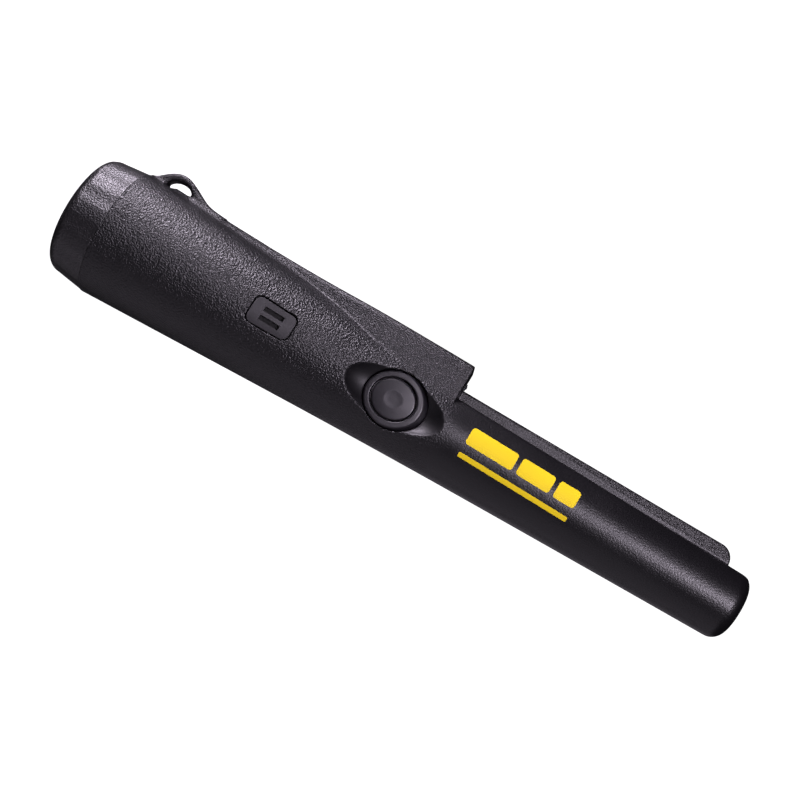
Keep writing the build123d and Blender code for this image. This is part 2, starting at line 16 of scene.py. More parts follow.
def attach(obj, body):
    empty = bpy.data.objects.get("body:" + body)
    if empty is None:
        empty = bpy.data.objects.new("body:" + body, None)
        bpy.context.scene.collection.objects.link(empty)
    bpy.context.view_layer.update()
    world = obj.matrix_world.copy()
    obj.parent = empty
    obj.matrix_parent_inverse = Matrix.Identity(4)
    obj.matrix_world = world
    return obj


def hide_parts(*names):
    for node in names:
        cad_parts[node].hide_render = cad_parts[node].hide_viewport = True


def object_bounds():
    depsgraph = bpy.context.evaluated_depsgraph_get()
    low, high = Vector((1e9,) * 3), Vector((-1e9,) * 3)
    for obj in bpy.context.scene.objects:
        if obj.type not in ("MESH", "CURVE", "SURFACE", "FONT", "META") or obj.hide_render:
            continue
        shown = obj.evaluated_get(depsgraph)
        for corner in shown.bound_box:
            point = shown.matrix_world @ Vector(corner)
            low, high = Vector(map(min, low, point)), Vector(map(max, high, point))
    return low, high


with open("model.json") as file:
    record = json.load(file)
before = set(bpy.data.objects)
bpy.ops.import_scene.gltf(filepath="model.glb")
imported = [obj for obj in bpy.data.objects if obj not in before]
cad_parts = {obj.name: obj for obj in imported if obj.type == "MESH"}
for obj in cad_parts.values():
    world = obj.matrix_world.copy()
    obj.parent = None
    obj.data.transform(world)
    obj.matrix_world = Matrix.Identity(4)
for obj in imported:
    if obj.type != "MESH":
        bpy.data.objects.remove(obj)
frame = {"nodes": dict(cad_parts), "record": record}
cad_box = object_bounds()
MM = 0.001

# ---------------------------------------------------------------- sizes, in millimetres

LENGTH = cad_box[1].z / MM
SEAM_Z = 12.85
TIP_CORNER = 4.7
TAPER_Z = (SEAM_Z, 60.0, 110.0, 160.0, LENGTH - TIP_CORNER)
TAPER_R = (20.46, 17.78, 15.12, 13.1, 10.90)
WALL = 2.2
OVERLAP = 1.0
SOFT_EDGE = 0.2

NECK_RADIUS = 17.3
NECK_END_Z = 3.2
NECK_EDGE = 0.4
BAY_RADIUS = 16.0
BAY_TOP_Z = 56.5
THREAD_Z = 5.0
THREAD_PITCH = 4.0
THREAD_TURNS = 1.1
THREAD_HEIGHT = 0.70
THREAD_HALF_ROOT = 0.7
THREAD_FLANK = 0.43
THREAD_CREST = 0.2
THREAD_END = 0.3
THREAD_ROOT = 0.15

HOOD_BACK_Z = 22.0
HOOD_FRONT_Z = 126.9
HOOD_Z = (HOOD_BACK_Z, 58.0, 76.3, 91.0, 107.3, HOOD_FRONT_Z)
HOOD_HALF = (4.0, 4.1, 5.6, 9.7, 11.8, 12.3)
HOOD_PLAN_H = 6.0
HOOD_DRAFT = math.radians(8.0)
HOOD_RIDGE = (20.2, 20.85)
HOOD_EDGE = 1.5
HOOD_FRONT_EDGE = 0.7
HOOD_CREASE = (3.0, 0.3)
HOOD_CREASE_Z = (52.0, 76.0)
HOOD_ROOT_H = 2.0

LAND = 10.2
LAND_EDGE = 0.6
LAND_CORNER = 0.5
LAND_WALL = 2.0
LAND_ROOM_Z = 124.4
BLADE_Z = (126.6, 220.3)
BLADE_TOP = (13.7, 14.95)
BLADE_HALF = 1.4
BLADE_CORNER = 4.6
BLADE_CREST = 0.7
BLADE_FOOT = 0.4

LOOP_Z = (13.4, 17.9, 21.9, 26.7, 32.6, 38.5)
LOOP_H = (20.3, 24.2, 25.55, 24.1, 21.4, 20.4)
LOOP_HALF = 2.8
LOOP_EDGE = 1.1
LOOP_HOLE = (19.55, 22.3)
LOOP_HOLE_HALF = (3.7, 4.5)
LOOP_HOLE_EDGE = 0.3
LOOP_FOOT = 1.4
LOOP_ROOT_H = 17.0

BUTTON_Z = 111.2
SCOOP_Z = (95.6, 127.4)
SCOOP_B = (15.72, 14.30)
SCOOP_LIFT = 3.0
SCOOP_RADIUS = 8.95
SCOOP_RIM = 0.35
POCKET_Z = BUTTON_Z + 0.6
POCKET_HALF = (8.85, 10.05)
POCKET_FLOOR = 7.4
BOSS_HALF = (11.0, 12.2)
BOSS_FLOOR = 5.4
STEM_HOLE = 4.0

GRILLE_Z = 69.2
GRILLE_H = 1.3
GRILLE_HALF_LENGTH = 6.8
GRILLE_HALF_WIDTH = (4.15, 3.75)
GRILLE_CORNER = 1.9
GRILLE_GAP = 0.35
GRILLE_LEDGE = 1.6
GRILLE_EDGE = 0.25
SOUND_HOLE = (2.8, 5.0)

LENS_H = 14.9
LENS_HOLE = 1.1
LENS_HOLE_DEPTH = 7.0
HOOD_ROOM_H = (7.0, 18.6)
HOOD_ROOM_HALF = 7.0
HOOD_ROOM_Z = (104.0, 124.6)

CAP_TOP_Z = 12.78
CAP_END_RADIUS = 19.15
CAP_MOUTH_RADIUS = 20.3
CAP_CORNER = 3.8
CAP_FLOOR = 2.4
CAP_BORE = 18.35
CAP_MOUTH_BORE = 18.95
CAP_MOUTH_Z = 10.9
CAP_RIM = 0.03
CAP_INNER_CORNER = 1.8
CAP_THREAD_ROOT = 0.3
FLUTES = 12
FLUTE_PHASE = math.radians(255.0)
FLUTE_CUTTER = 10.8
FLUTE_DEPTH = (0.75, 0.35)
FLUTE_EDGE = 0.4

BEZEL_TOP = 12.2
BEZEL_FOOT = 10.2
BEZEL_LEDGE = 9.4
BEZEL_RIM = (8.3, 8.95)
BEZEL_CROWN = 0.003
BEZEL_GAP = 0.1
BEZEL_EDGE = 0.4
BEZEL_BORE_EDGE = 0.3
SEAL_TOP = 8.0
BUTTON_HALF = (6.0, 6.75)
BUTTON_BORE = (6.45, 7.2)
BUTTON_ROOM = (7.5, 8.4)
BUTTON_TOP = 12.25
BUTTON_CROWN = 0.008
BUTTON_DISH = (2.7, 3.1)
BUTTON_DISH_DEPTH = 0.12
BUTTON_EDGE = 0.45
KEY_ROOT = 0.5
FLANGE_PLAY = 0.3
FLANGE_TOP = BEZEL_LEDGE - 0.1
FLANGE_THICKNESS = 0.75
STEM_RADIUS = 3.0
PLUNGER_TOP = 4.75

INNER_Z = (BAY_TOP_Z, 110.0, 160.0, 222.0)
INNER_R = (15.65, 12.82, 10.8, 8.6)
INNER_END_Z = 225.4
INNER_CORNER = 2.0

# ---------------------------------------------------------------- distance fields


class Curve:
    """Smooth curve through a few points: a cubic spline, level at its ends where asked."""

    def __init__(self, at, values, level=False):
        self.at, self.values = np.array(at), np.array(values)
        step, rise = np.diff(self.at), np.diff(self.values)
        count = len(at)
        rows, right = np.zeros((count, count)), np.zeros(count)
        for i in range(1, count - 1):
            rows[i, i - 1 : i + 2] = (step[i], 2 * (step[i - 1] + step[i]), step[i - 1])
            right[i] = 3 * (rise[i - 1] / step[i - 1] * step[i] + rise[i] / step[i] * step[i - 1])
        rows[0, :2], right[0] = (2, 1), 3 * rise[0] / step[0]
        rows[-1, -2:], right[-1] = (1, 2), 3 * rise[-1] / step[-1]
        if level:
            rows[0, :2], right[0] = (1, 0), 0
            rows[-1, -2:], right[-1] = (0, 1), 0
        self.slopes = np.linalg.solve(rows, right)

    def __call__(self, x):
        x = np.clip(x, self.at[0], self.at[-1])
        i = np.clip(np.searchsorted(self.at, x, side="right") - 1, 0, len(self.at) - 2)
        width = self.at[i + 1] - self.at[i]
        t = (x - self.at[i]) / width
        low, high = self.values[i], self.values[i + 1]
        start, end = self.slopes[i] * width, self.slopes[i + 1] * width
        square = 3 * (high - low) - 2 * start - end
        cube = 2 * (low - high) + start + end
        return low + t * (start + t * (square + t * cube))


taper = Curve(TAPER_Z, TAPER_R)
hood_half = Curve(HOOD_Z, HOOD_HALF, level=True)
loop_top = Curve(LOOP_Z, LOOP_H)
inner_radius = Curve(INNER_Z, INNER_R)


def between(pair, z, ends):
    """Straight run from pair[0] to pair[1] as z goes from ends[0] to ends[1]."""
    return pair[0] + (pair[1] - pair[0]) * (z - ends[0]) / (ends[1] - ends[0])


def within(value, ends):
    """Distance of a value past a stretch, negative between its ends."""
    return np.abs(value - sum(ends) / 2) - (ends[1] - ends[0]) / 2


def both(a, b, r=0.0):
    """What lies in a and in b, with the edge between them rounded to radius r."""
    if np.ndim(r) == 0 and r == 0:
        return np.maximum(a, b)
    u, v = np.maximum(a + r, 0), np.maximum(b + r, 0)
    return np.minimum(np.maximum(a, b), -r) + np.hypot(u, v)


def either(a, b, r=0.0):
    """What lies in a or in b, with a fillet of radius r between them."""
    return -both(-a, -b, r)


def without(a, b, r=0.0):
    """a with b taken away, the rim rounded to radius r."""
    return both(a, -b, r)


def oval(h, z, half, middle_z, middle_h=0.0):
    """Distance to an oval, good near its edge."""
    u, v = (h - middle_h) / half[0], (z - middle_z) / half[1]
    size = np.sqrt(u * u + v * v) + 1e-6
    steep = np.hypot(u / half[0], v / half[1]) / size
    return (size - 1) / np.maximum(steep, 1e-3)


def tapered(h, b, z, inset):
    """The bare wand, moved inwards by inset."""
    side = np.hypot(h, b) - taper(z) + inset
    return both(side, z - LENGTH, TIP_CORNER)


def hood(h, b, z):
    """Raised wedge whose plan widens towards its flat front."""
    side = (np.abs(b) - hood_half(z) + (h - HOOD_PLAN_H) * math.tan(HOOD_DRAFT)) * math.cos(HOOD_DRAFT)
    ridge = h - between(HOOD_RIDGE, z, (HOOD_BACK_Z, HOOD_FRONT_Z))
    wedge = both(side, ridge, HOOD_EDGE)
    wedge = both(wedge, z - HOOD_FRONT_Z, HOOD_FRONT_EDGE)
    return both(both(wedge, HOOD_BACK_Z - z), HOOD_ROOT_H - h)


def loop(h, b, z):
    """Lanyard loop: an arched web with a half-round hole across it."""
    reach = 0.05
    slope = (loop_top(z + reach) - loop_top(z - reach)) / (2 * reach)
    web = (h - loop_top(z)) / np.sqrt(1 + slope * slope)
    web = both(web, both(LOOP_Z[0] - z, z - LOOP_Z[-1]))
    hole = oval(h, z, LOOP_HOLE_HALF, LOOP_HOLE[1], LOOP_HOLE[0])
    band = without(web, hole, LOOP_HOLE_EDGE)
    return both(both(band, np.abs(b) - LOOP_HALF, LOOP_EDGE), LOOP_ROOT_H - h)


def blade(h, b, z):
    """Upright scraping fin along the land."""
    crest = h - between(BLADE_TOP, z, BLADE_Z)
    fin = both(crest, z - BLADE_Z[1], BLADE_CORNER)
    fin = both(fin, BLADE_Z[0] - z, BLADE_CREST)
    return both(both(fin, np.abs(b) - BLADE_HALF, BLADE_CREST), LAND - OVERLAP - h)


def scoop(h, b, z, extra=0.0):
    """Long round form, raised a little above the surface, that hollows the place of the button."""
    half = (SCOOP_Z[1] - SCOOP_Z[0]) / 2
    lean = math.atan2(SCOOP_B[0] - SCOOP_B[1], 2 * half)
    out, along = b - sum(SCOOP_B) / 2, z - sum(SCOOP_Z) / 2
    axial = along * math.cos(lean) - out * math.sin(lean)
    radial = np.hypot(h, out * math.cos(lean) + along * math.sin(lean) - SCOOP_LIFT)
    length = half / math.sqrt(1 - (SCOOP_LIFT / SCOOP_RADIUS) ** 2)
    return oval(radial, axial, (SCOOP_RADIUS + extra, length + extra), 0.0)


def grille_plan(h, z, margin):
    """Rounded outline of the speaker plate's seat, a little narrower towards the tip."""
    along = z - GRILLE_Z
    ends = (GRILLE_Z - GRILLE_HALF_LENGTH, GRILLE_Z + GRILLE_HALF_LENGTH)
    side = np.abs(h - GRILLE_H) - between(GRILLE_HALF_WIDTH, z, ends) - margin
    return both(side, np.abs(along) - GRILLE_HALF_LENGTH - margin, GRILLE_CORNER + margin)


def thread(h, b, z, radius=NECK_RADIUS, way=1, start=0.0):
    """One turn and a bit of coarse thread, outwards on a neck or inwards in a bore."""
    turn = np.mod(np.arctan2(-b, -h) / (2 * math.pi) - start, 1.0)
    out = (np.hypot(h, b) - radius) * way
    ridge = np.full(np.shape(z), THREAD_PITCH)
    for lap in (0, 1):
        along = np.abs(z - THREAD_Z - THREAD_PITCH * (turn + lap))
        flank = (along - THREAD_HALF_ROOT + THREAD_FLANK * out) / math.hypot(1, THREAD_FLANK)
        past_end = (turn + lap - THREAD_TURNS) * 2 * math.pi * radius
        ridge = np.minimum(ridge, both(both(flank, out - THREAD_HEIGHT, THREAD_CREST), past_end, THREAD_END))
    return ridge


def cavity(h, b, z):
    """The room inside the casing."""
    r = np.hypot(h, b)
    bay = both(r - BAY_RADIUS, z - BAY_TOP_Z)
    room = both(both(r - inner_radius(z), z - INNER_END_Z, INNER_CORNER), BAY_TOP_Z - OVERLAP - z)
    room = without(room, both(LAND - LAND_WALL - h, LAND_ROOM_Z - z))
    room = without(room, scoop(h, b, z, WALL))
    room = without(room, both(oval(h, z, BOSS_HALF, BUTTON_Z), BOSS_FLOOR - b))
    under_hood = both(within(h, HOOD_ROOM_H), within(z, HOOD_ROOM_Z))
    under_hood = both(under_hood, np.abs(b) - HOOD_ROOM_HALF)
    return either(either(bay, room), under_hood)


def casing_field(h, b, z):
    """Signed distance to the casing, negative in its walls."""
    softness = np.clip(between((0.0, 1.0), z, HOOD_CREASE_Z), 0, 1)
    crease = HOOD_CREASE[0] + (HOOD_CREASE[1] - HOOD_CREASE[0]) * softness
    body = either(tapered(h, b, z, 0.0), hood(h, b, z), crease)
    step = both(LAND - h, HOOD_FRONT_Z - z, LAND_CORNER)
    body = without(body, step, LAND_EDGE)
    body = either(body, blade(h, b, z), BLADE_FOOT)
    body = either(body, loop(h, b, z), LOOP_FOOT)
    body = without(body, scoop(h, b, z), SCOOP_RIM)
    body = both(body, SEAM_Z - z, CAP_RIM)
    neck = both(both(np.hypot(h, b) - NECK_RADIUS, NECK_END_Z - z, NECK_EDGE), z - SEAM_Z - OVERLAP)
    neck = either(neck, thread(h, b, z), THREAD_ROOT)
    shell = without(either(body, neck), cavity(h, b, z), SOFT_EDGE)
    shell = without(shell, both(oval(h, z, POCKET_HALF, POCKET_Z), POCKET_FLOOR - b), SOFT_EDGE)
    shell = without(shell, both(np.hypot(h, z - BUTTON_Z) - STEM_HOLE, -b))
    seat = both(grille_plan(h, z, GRILLE_GAP), -tapered(h, b, z, GRILLE_LEDGE))
    shell = without(shell, both(seat, -b), GRILLE_EDGE)
    hole = both(np.abs(h - GRILLE_H) - SOUND_HOLE[0], np.abs(z - GRILLE_Z) - SOUND_HOLE[1])
    shell = without(shell, both(hole, -b))
    lens = both(np.hypot(h - LENS_H, b) - LENS_HOLE, np.abs(z - HOOD_FRONT_Z) - LENS_HOLE_DEPTH)
    return without(shell, lens, SOFT_EDGE)


def cap_field(h, b, z):
    """Screw cap: a cup with soft flutes outside and a thread inside."""
    r = np.hypot(h, b)
    slope = (CAP_MOUTH_RADIUS - CAP_END_RADIUS) / (CAP_TOP_Z - CAP_CORNER)
    side = (r - CAP_END_RADIUS - slope * np.maximum(z - CAP_CORNER, 0)) / math.hypot(1, slope)
    cap = both(both(side, -z, CAP_CORNER), z - CAP_TOP_Z, CAP_RIM)
    pitch = 2 * math.pi / FLUTES
    turn = np.mod(np.arctan2(-b, -h) - FLUTE_PHASE + pitch / 2, pitch) - pitch / 2
    valley = (CAP_END_RADIUS - FLUTE_DEPTH[0], CAP_MOUTH_RADIUS - FLUTE_DEPTH[1])
    axis = FLUTE_CUTTER + between(valley, z, (0.0, CAP_TOP_Z))
    flute = np.hypot(r * np.cos(turn) - axis, r * np.sin(turn)) - FLUTE_CUTTER
    cap = without(cap, flute, FLUTE_EDGE)
    cap = without(cap, both(r - CAP_BORE, CAP_FLOOR - z, CAP_INNER_CORNER), SOFT_EDGE)
    ridge = both(thread(h, b, z, CAP_BORE, -1, 0.5), r - CAP_BORE - CAP_THREAD_ROOT)
    cap = either(cap, ridge, THREAD_ROOT)
    return without(cap, both(r - CAP_MOUTH_BORE, CAP_MOUTH_Z - z), SOFT_EDGE)


def bezel_field(h, b, z):
    """Fixed ring around the button, its outer wall leaning in towards the rim."""
    wide = [half - BEZEL_GAP for half in POCKET_HALF]
    rise = np.clip((b - BEZEL_FOOT) / (BEZEL_TOP - BEZEL_FOOT), 0, 1)
    half = [low + (high - low) * rise for low, high in zip(wide, BEZEL_RIM)]
    middle = POCKET_Z + (BUTTON_Z - POCKET_Z) * rise
    fall = BEZEL_CROWN * (h * h + (z - BUTTON_Z) ** 2 - BUTTON_HALF[0] * BUTTON_HALF[1])
    ring = both(oval(h, z, half, middle), b - BEZEL_TOP + np.maximum(fall, 0), BEZEL_EDGE)
    ring = both(ring, SEAL_TOP - b)
    ring = without(ring, oval(h, z, BUTTON_BORE, BUTTON_Z), BEZEL_BORE_EDGE)
    return without(ring, both(oval(h, z, BUTTON_ROOM, BUTTON_Z), b - BEZEL_LEDGE))


def button_field(h, b, z):
    """Push button: a gently crowned oval key with a shallow dish, a flange below and a stem."""
    along = z - BUTTON_Z
    u = np.clip(1 - (h / BUTTON_DISH[0]) ** 2 - (along / BUTTON_DISH[1]) ** 2, 0, 1)
    top = BUTTON_TOP - BUTTON_CROWN * (h * h + along * along) - BUTTON_DISH_DEPTH * u * u * (3 - 2 * u)
    key = both(both(oval(h, z, BUTTON_HALF, BUTTON_Z), b - top, BUTTON_EDGE), BEZEL_LEDGE - KEY_ROOT - b)
    flange_half = [half - FLANGE_PLAY for half in BUTTON_ROOM]
    flange = both(oval(h, z, flange_half, BUTTON_Z), within(b, (FLANGE_TOP - FLANGE_THICKNESS, FLANGE_TOP)))
    stem = both(both(np.hypot(h, along) - STEM_RADIUS, b - BEZEL_LEDGE), PLUNGER_TOP - b)
    return either(either(key, flange), stem)


# ---------------------------------------------------------------- mesh from a field

STEP = 0.5
FINE, PLAIN = 0.45, 1.2
SEAM_STEP = 0.1
Z_RUNS = (
    (2.5, 12.7, FINE),
    (12.7, 13.1, SEAM_STEP),
    (13.1, 42.0, FINE),
    (42.0, 60.0, PLAIN),
    (60.0, 79.0, FINE),
    (79.0, 93.0, PLAIN),
    (93.0, 131.0, FINE),
    (131.0, 216.0, PLAIN),
    (216.0, 230.2, FINE),
)
SETTLE_ROUNDS = 4
SETTLE_REACH = 0.02
FLATTEST = 0.2
LONGEST_MOVE = 0.25


def grid_line(runs):
    """Coordinates along one side of the grid, in runs of (start, end, step)."""
    parts = [np.linspace(a, b, max(2, round((b - a) / s)), endpoint=False) for a, b, s in runs]
    return np.concatenate(parts + [[runs[-1][1]]])


def surface_net(field, lines):
    """Vertices and quads of the surface where a sampled field passes zero."""
    shape = field.shape
    inside = field < 0
    corners = sum(
        inside[i : shape[0] - 1 + i, j : shape[1] - 1 + j, k : shape[2] - 1 + k].astype(np.int8)
        for i in (0, 1) for j in (0, 1) for k in (0, 1)
    )
    mixed = (corners > 0) & (corners < 8)
    number = np.full(mixed.shape, -1, np.int64)
    number[mixed] = np.arange(mixed.sum())
    count = int(mixed.sum())
    total, weight, quads = np.zeros((count, 3)), np.zeros(count), []
    for axis in range(3):
        low = [slice(None)] * 3
        high = [slice(None)] * 3
        low[axis], high[axis] = slice(0, -1), slice(1, None)
        crossing = inside[tuple(low)] != inside[tuple(high)]
        at = np.array(np.nonzero(crossing))
        ahead = at.copy()
        ahead[axis] += 1
        f0, f1 = field[tuple(at)], field[tuple(ahead)]
        t = f0 / (f0 - f1)
        point = np.stack([lines[n][at[n]] for n in range(3)], 1)
        point[:, axis] += t * (lines[axis][ahead[axis]] - lines[axis][at[axis]])
        one, two = (axis + 1) % 3, (axis + 2) % 3
        ring = []
        for step_one, step_two in ((1, 1), (0, 1), (0, 0), (1, 0)):
            cell = at.copy()
            cell[one] -= step_one
            cell[two] -= step_two
            ring.append(number[tuple(cell)])
        for cells in ring:
            for n in range(3):
                total[:, n] += np.bincount(cells, point[:, n], count)
            weight += np.bincount(cells, minlength=count)
        ring = np.stack(ring, 1)
        leaving = inside[tuple(at)]
        quads += [ring[leaving], ring[~leaving][:, ::-1]]
    return total / weight[:, None], np.concatenate(quads)


def slope_of(field, points, reach):
    """Gradient of a field at points, by central differences."""
    slope = np.zeros_like(points)
    for n in range(3):
        step = np.zeros(3)
        step[n] = reach
        slope[:, n] = (field(*(points + step).T) - field(*(points - step).T)) / (2 * reach)
    return slope


def field_mesh(name, field, lines, normal_reach=0.15, amounts=None):
    """Mesh object on the zero surface of a field, with the field's own smooth normals.

    The net's points are settled onto the surface first.  Each entry of amounts is a function of place whose
    values are kept on the vertices for the materials.
    """
    h, b = np.meshgrid(*[line.astype(np.float32) for line in lines[:2]], indexing="ij")
    samples = np.empty((*h.shape, len(lines[2])), np.float32)
    for k, level in enumerate(lines[2]):
        samples[:, :, k] = field(h, b, np.full(h.shape, level))
    points, quads = surface_net(samples, lines)
    for settling in range(SETTLE_ROUNDS):
        slope = slope_of(field, points, SETTLE_REACH)
        away = field(*points.T) / np.maximum((slope**2).sum(1), FLATTEST)
        points -= slope * np.clip(away, -LONGEST_MOVE, LONGEST_MOVE)[:, None]
    normals = slope_of(field, points, normal_reach)
    normals /= np.maximum(np.linalg.norm(normals, axis=1), 1e-6)[:, None]
    turned = np.array([-1.0, -1.0, 1.0])
    mesh = bpy.data.meshes.new(name)
    mesh.from_pydata(points * turned * MM, [], quads.tolist())
    mesh.shade_smooth()
    mesh.normals_split_custom_set_from_vertices(normals * turned)
    for key, amount in (amounts or {}).items():
        mesh.attributes.new(key, "FLOAT", "POINT").data.foreach_set("value", amount(*points.T))
    made = bpy.data.objects.new(name, mesh)
    bpy.context.scene.collection.objects.link(made)
    return made


# ---------------------------------------------------------------- materials


class Finish:
    """A procedural material under construction, in object coordinates (metres)."""

    def __init__(self, name, colour, roughness):
        self.material = bpy.data.materials.new(name)
        self.material.use_nodes = True
        self.tree = self.material.node_tree
        self.shader = self.tree.nodes["Principled BSDF"]
        self.shader.inputs["Base Color"].default_value = (*colour, 1)
        self.shader.inputs["Roughness"].default_value = roughness
        self.place = self.tree.nodes.new("ShaderNodeTexCoord").outputs["Object"]

    def link(self, source, target):
        self.tree.links.new(source, target)

    def noise(self, size_mm, detail=2.0, rough=0.5):
        node = self.tree.nodes.new("ShaderNodeTexNoise")
        node.inputs["Scale"].default_value = 1 / (size_mm * MM)
        node.inputs["Detail"].default_value = detail
        node.inputs["Roughness"].default_value = rough
        self.link(self.place, node.inputs["Vector"])
        return node.outputs["Fac"]

    def cells(self, size_mm, smooth, place):
        node = self.tree.nodes.new("ShaderNodeTexVoronoi")
        node.feature = "SMOOTH_F1"
        node.inputs["Scale"].default_value = 1 / (size_mm * MM)
        node.inputs["Smoothness"].default_value = smooth
        self.link(place, node.inputs["Vector"])
        return node.outputs["Distance"]

    def shaken(self, amount_mm, size_mm):
        """The place, pushed about by noise so that cells lose their even outlines."""
        node = self.tree.nodes.new("ShaderNodeTexNoise")
        node.inputs["Scale"].default_value = 1 / (size_mm * MM)
        self.link(self.place, node.inputs["Vector"])
        mix = self.tree.nodes.new("ShaderNodeVectorMath")
        mix.operation = "MULTIPLY_ADD"
        self.link(node.outputs["Color"], mix.inputs[0])
        mix.inputs[1].default_value = (amount_mm * MM,) * 3
        self.link(self.place, mix.inputs[2])
        return mix.outputs["Vector"]

    def amount(self, key):
        """Value kept on the mesh by field_mesh, zero where there is none."""
        node = self.tree.nodes.new("ShaderNodeAttribute")
        node.attribute_name = key
        return node.outputs["Fac"]

    def math(self, operation, a, b=0.0):
        node = self.tree.nodes.new("ShaderNodeMath")
        node.operation = operation
        for socket, value in zip(node.inputs, (a, b)):
            if isinstance(value, (int, float)):
                socket.default_value = value
            else:
                self.link(value, socket)
        return node.outputs[0]

    def ramp(self, value, start, end, low=0.0, high=1.0):
        node = self.tree.nodes.new("ShaderNodeMapRange")
        node.interpolation_type = "SMOOTHSTEP"
        self.link(value, node.inputs["Value"])
        for key, number in (("From Min", start), ("From Max", end), ("To Min", low), ("To Max", high)):
            node.inputs[key].default_value = number
        return node.outputs["Result"]

    def along(self, axis="Z"):
        node = self.tree.nodes.new("ShaderNodeSeparateXYZ")
        self.link(self.place, node.inputs[0])
        return node.outputs[axis]

    def tint(self, fac, dark, light):
        node = self.tree.nodes.new("ShaderNodeMix")
        node.data_type = "RGBA"
        self.link(fac, node.inputs["Factor"])
        node.inputs[6].default_value = (*dark, 1)
        node.inputs[7].default_value = (*light, 1)
        self.link(node.outputs[2], self.shader.inputs["Base Color"])

    def roughen(self, fac):
        self.link(fac, self.shader.inputs["Roughness"])

    def bump(self, height, depth_mm):
        node = self.tree.nodes.new("ShaderNodeBump")
        node.inputs["Strength"].default_value = 1.0
        node.inputs["Distance"].default_value = depth_mm * MM
        self.link(height, node.inputs["Height"])
        self.link(node.outputs["Normal"], self.shader.inputs["Normal"])


def shades(colour, spread):
    """A darker and a lighter version of a colour."""
    return [c * (1 - spread) for c in colour], [min(1, c * (1 + spread)) for c in colour]


BLACK = (0.0030, 0.0027, 0.0035)

# Each grain has a size and a depth, in millimetres.
PEBBLES = (0.56, 0.16)
WRINKLES = (0.38, 0.06)
STIPPLE = (0.32, 0.20)
FINE_GRAIN = (0.50, 0.075)


def grained_plastic(name, shine=0.5, rougher=0.0):
    """Black moulded plastic with a leather grain, a stipple or a polish where the mesh asks for them."""
    f = Finish(name, BLACK, 0.4)
    f.shader.inputs["Specular IOR Level"].default_value = shine
    pebbles = f.math("MULTIPLY", f.cells(PEBBLES[0], 0.3, f.shaken(0.5, 0.6)), PEBBLES[1])
    wrinkles = f.math("MULTIPLY", f.noise(WRINKLES[0], 1.0), WRINKLES[1])
    leather = f.math("MULTIPLY", f.math("ADD", pebbles, wrinkles), f.amount("leather"))
    stipple = f.math("MULTIPLY", f.noise(STIPPLE[0], 1.0), STIPPLE[1])
    stipple = f.math("MULTIPLY", stipple, f.amount("stipple"))
    plain = f.math("SUBTRACT", 1.0, f.amount("polish"))
    fine = f.math("MULTIPLY", f.math("MULTIPLY", f.noise(FINE_GRAIN[0], 1.0), FINE_GRAIN[1]), plain)
    f.bump(f.math("ADD", f.math("ADD", leather, stipple), fine), 1.0)
    f.tint(f.noise(16, 3.0), *shades(BLACK, 0.15))
    worn = f.ramp(f.noise(22, 4.0, 0.6), 0.35, 0.7, 0.34 + rougher, 0.39 + rougher)
    worn = f.math("ADD", worn, f.math("MULTIPLY", f.amount("polish"), 0.08))
    f.roughen(f.math("ADD", worn, f.math("MULTIPLY", f.noise(0.5), 0.04)))
    return f.material


def satin_plastic(name, colour, roughness, grain_mm, depth_mm, spread=0.15, shine=0.5):
    """Plain moulded plastic with a fine grain and faint handling marks."""
    f = Finish(name, colour, roughness)
    f.shader.inputs["Specular IOR Level"].default_value = shine
    f.bump(f.noise(grain_mm, 2.0, 0.6), depth_mm)
    f.tint(f.noise(9, 3.0), *shades(colour, spread))
    f.roughen(f.ramp(f.noise(7, 4.0, 0.6), 0.3, 0.7, roughness - 0.05, roughness + 0.06))
    return f.material


def metal(name, colour, roughness):
    """Bare metal with fine scratches and dulled patches."""
    f = Finish(name, colour, roughness)
    f.shader.inputs["Metallic"].default_value = 1.0
    f.bump(f.noise(0.2), 0.006)
    f.tint(f.noise(3, 3.0), *shades(colour, 0.12))
    f.roughen(f.ramp(f.noise(2.0, 4.0), 0.3, 0.7, roughness - 0.08, roughness + 0.12))
    return f.material


def clear_plastic(name, colour):
    """Clear moulding with a few dull spots."""
    f = Finish(name, colour, 0.12)
    f.shader.inputs["Transmission Weight"].default_value = 0.85
    f.shader.inputs["IOR"].default_value = 1.49
    f.bump(f.noise(0.4, 2.0), 0.002)
    f.roughen(f.ramp(f.noise(1.2, 3.0), 0.3, 0.7, 0.08, 0.2))
    return f.material


def woven(name, colour):
    """Dust cloth: two crossing sets of threads."""
    f = Finish(name, colour, 0.85)
    threads = []
    for axis in ("X", "Z"):
        threads.append(f.math("ABSOLUTE", f.math("SINE", f.math("MULTIPLY", f.along(axis), 12000.0))))
    weave = f.math("MAXIMUM", *threads)
    f.bump(weave, 0.06)
    f.tint(weave, *shades(colour, 0.5))
    f.roughen(f.ramp(f.noise(0.6), 0.3, 0.7, 0.78, 0.95))
    return f.material


